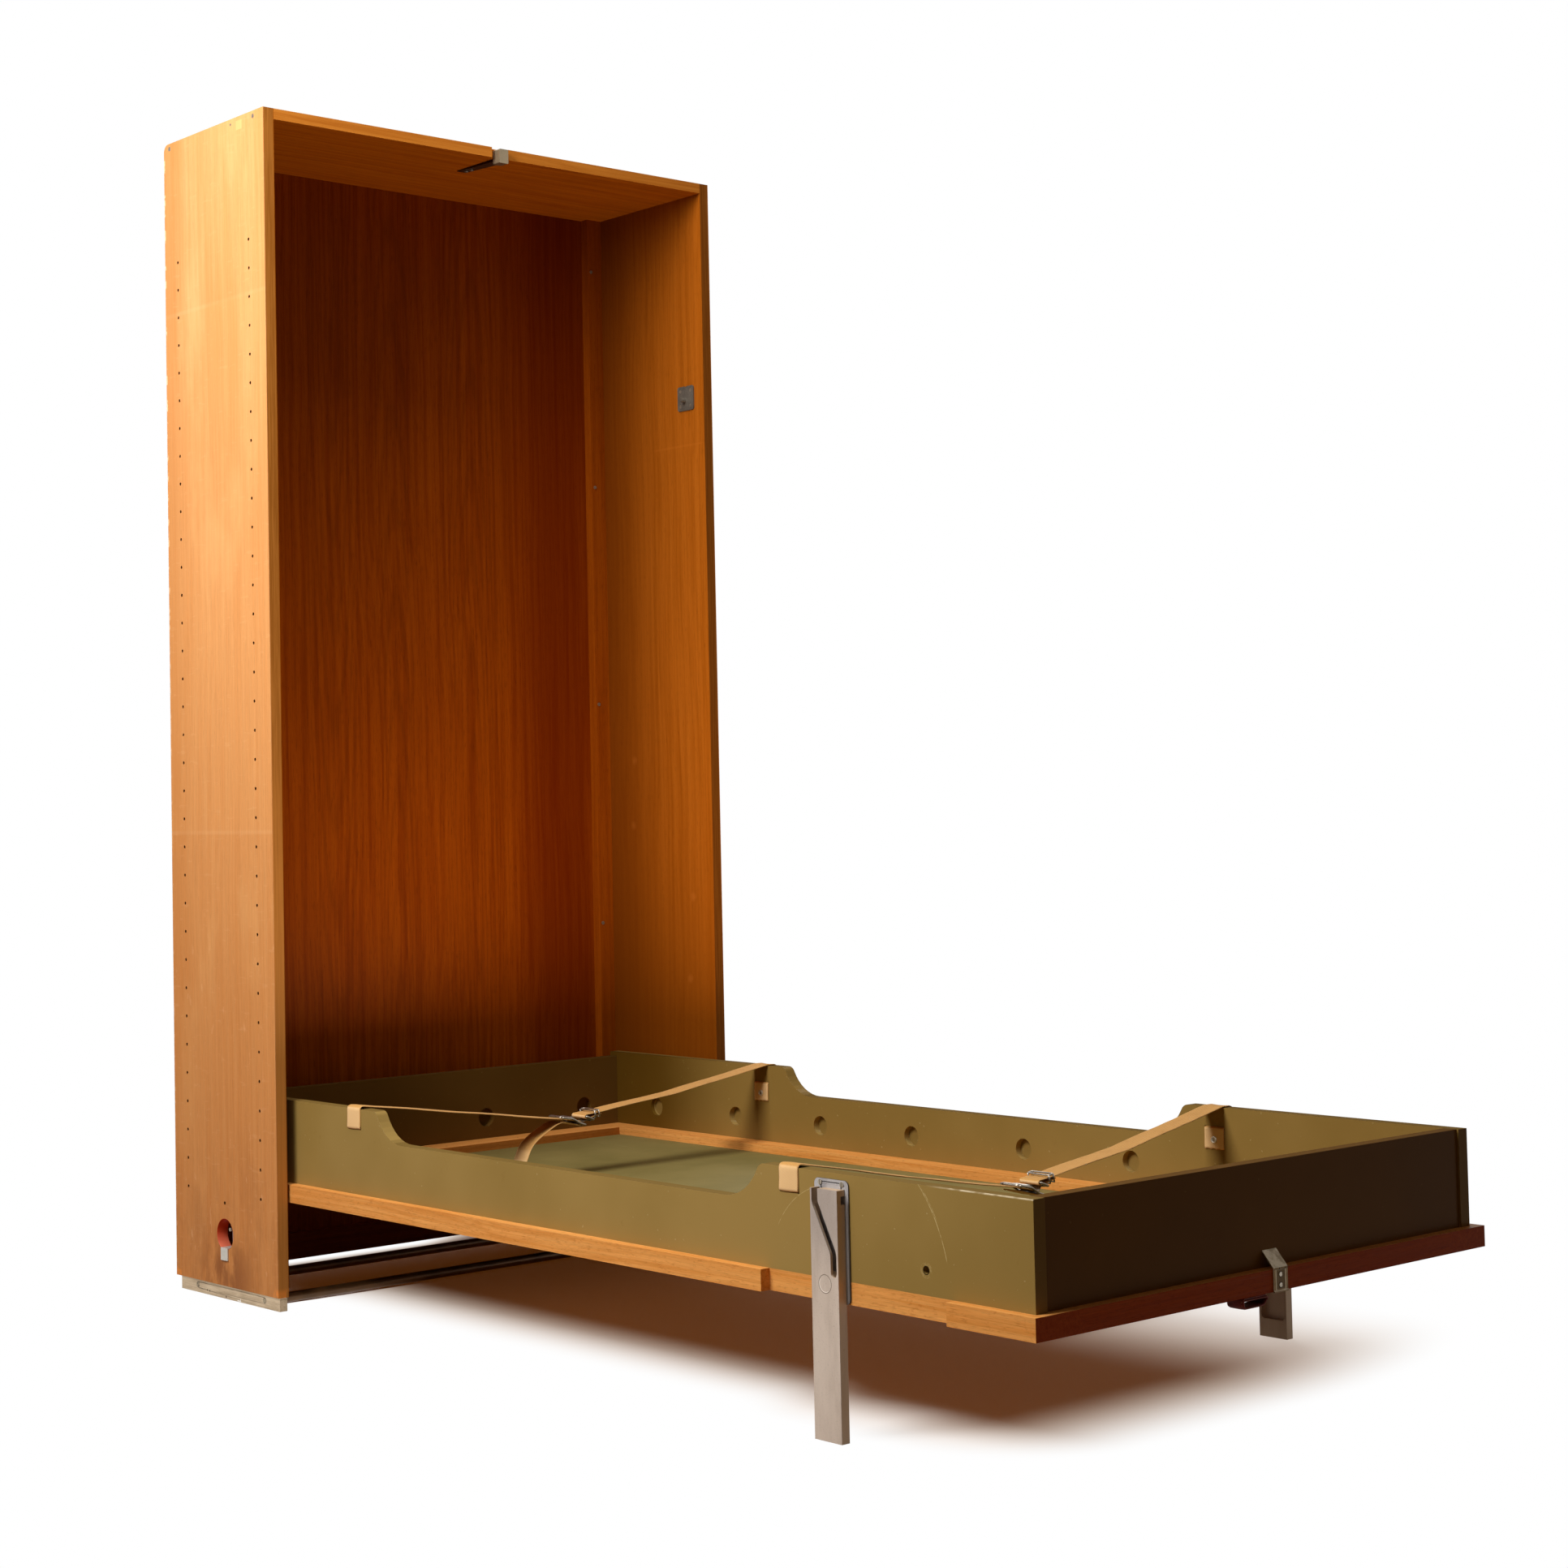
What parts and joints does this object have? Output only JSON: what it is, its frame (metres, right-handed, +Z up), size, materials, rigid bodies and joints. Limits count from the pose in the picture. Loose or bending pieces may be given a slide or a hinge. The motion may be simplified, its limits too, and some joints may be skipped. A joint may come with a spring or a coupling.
{
  "type": "wall bed",
  "caption": "Single wall bed: a shallow upright cabinet on skids with a strapped mattress tray that folds up into it on drop legs steered by cam slots.",
  "frame": {"origin": "on the floor, under the middle of the whole outline with the bed open", "axes": "+X to the cabinet's right side as seen from its front, +Y from the tray to the wall, +Z up"},
  "size_m": [1.0074, 2.0582, 2.054],
  "materials": {
    "honey_wood": "satin varnish, vertical grain",
    "batten_wood": "satin varnish",
    "teak_veneer": "satin veneer",
    "olive_paint": "painted, semi-matt, worn at the arrises",
    "green_sheet": "painted hardboard, matt",
    "skid_metal": "greyed, spotted with rust",
    "brown_rod": "dark brown paint",
    "webbing": "woven cotton webbing",
    "leather": "dark red-brown",
    "brass": "pale, worn",
    "nickel": "dull, worn",
    "zinc": "dull zinc plate",
    "steel": "brushed, worn"
  },
  "bodies": {
    "cabinet": {"left_side_panel": "honey_wood", "right_side_panel": "honey_wood", "top_panel": "honey_wood", "back_panel": "teak_veneer", "left_back_cleat": "teak_veneer", "right_back_cleat": "teak_veneer", "back_rail": "teak_veneer", "cleat_screws": "steel", "top_screws": "steel", "left_skid": "skid_metal", "right_skid": "skid_metal", "rod_bolts": "steel", "front_base_rod": "brown_rod", "rear_base_rod": "brown_rod", "left_pivot_plate": "steel", "right_pivot_plate": "steel", "left_cam_plate": "steel", "right_cam_plate": "steel", "cam_plate_screws": "steel", "left_spring_anchor": "steel", "right_spring_anchor": "steel", "left_anchor_strap": "zinc", "right_anchor_strap": "zinc", "anchor_bolts": "steel", "left_spring": "steel", "right_spring": "steel", "leaf_screws": "steel"},
    "tray": {"left_side_board": "olive_paint", "right_side_board": "olive_paint", "head_board": "olive_paint", "foot_board": "olive_paint", "left_batten": "batten_wood", "right_batten": "batten_wood", "head_batten": "batten_wood", "foot_batten": "batten_wood", "base_panel": "green_sheet", "front_panel": "teak_veneer", "foot_hook": "nickel", "foot_screws": "steel", "pull_handle": "leather", "left_leg_plate": "steel", "right_leg_plate": "steel", "leg_plate_screws": "brass", "left_leg_pin": "steel", "right_leg_pin": "steel", "left_pivot_socket": "steel", "right_pivot_socket": "steel", "spring_studs": "steel", "rear_strap_near": "webbing", "rear_strap_far": "webbing", "front_strap_near": "webbing", "front_strap_far": "webbing", "rear_buckle": "steel", "front_buckle": "steel", "strap_screws": "steel"},
    "left_leg": {"left_leg": "steel"},
    "right_leg": {"right_leg": "steel"},
    "latch": {"latch_block": "nickel", "latch_leaf": "steel"}
  },
  "joints": [
    {"name": "bed_fold", "type": "hinge", "parent": "cabinet", "child": "tray", "pos_m": [0, 0.7571, 0.242], "axis": [-1, 0, 0], "range_deg": [0, 90], "deforming": ["left_spring", "right_spring"]},
    {"name": "left_leg_fold", "type": "hinge", "parent": "tray", "child": "left_leg", "pos_m": [-0.4684, -0.6509, 0.206], "axis": [-1, 0, 0], "range_deg": [0, 90]},
    {"name": "right_leg_fold", "type": "hinge", "parent": "tray", "child": "right_leg", "pos_m": [0.4684, -0.6509, 0.206], "axis": [-1, 0, 0], "range_deg": [0, 90]},
    {"name": "latch_lift", "type": "hinge", "parent": "cabinet", "child": "latch", "pos_m": [0, 0.7836, 2.033], "axis": [-1, 0, 0], "range_deg": [0, 3], "stiffness_Nm_per_rad": 12}
  ],
  "couplings": [
    {"joint": "left_leg_fold", "follows": "bed_fold", "ratio": 1},
    {"joint": "right_leg_fold", "follows": "bed_fold", "ratio": 1}
  ]
}
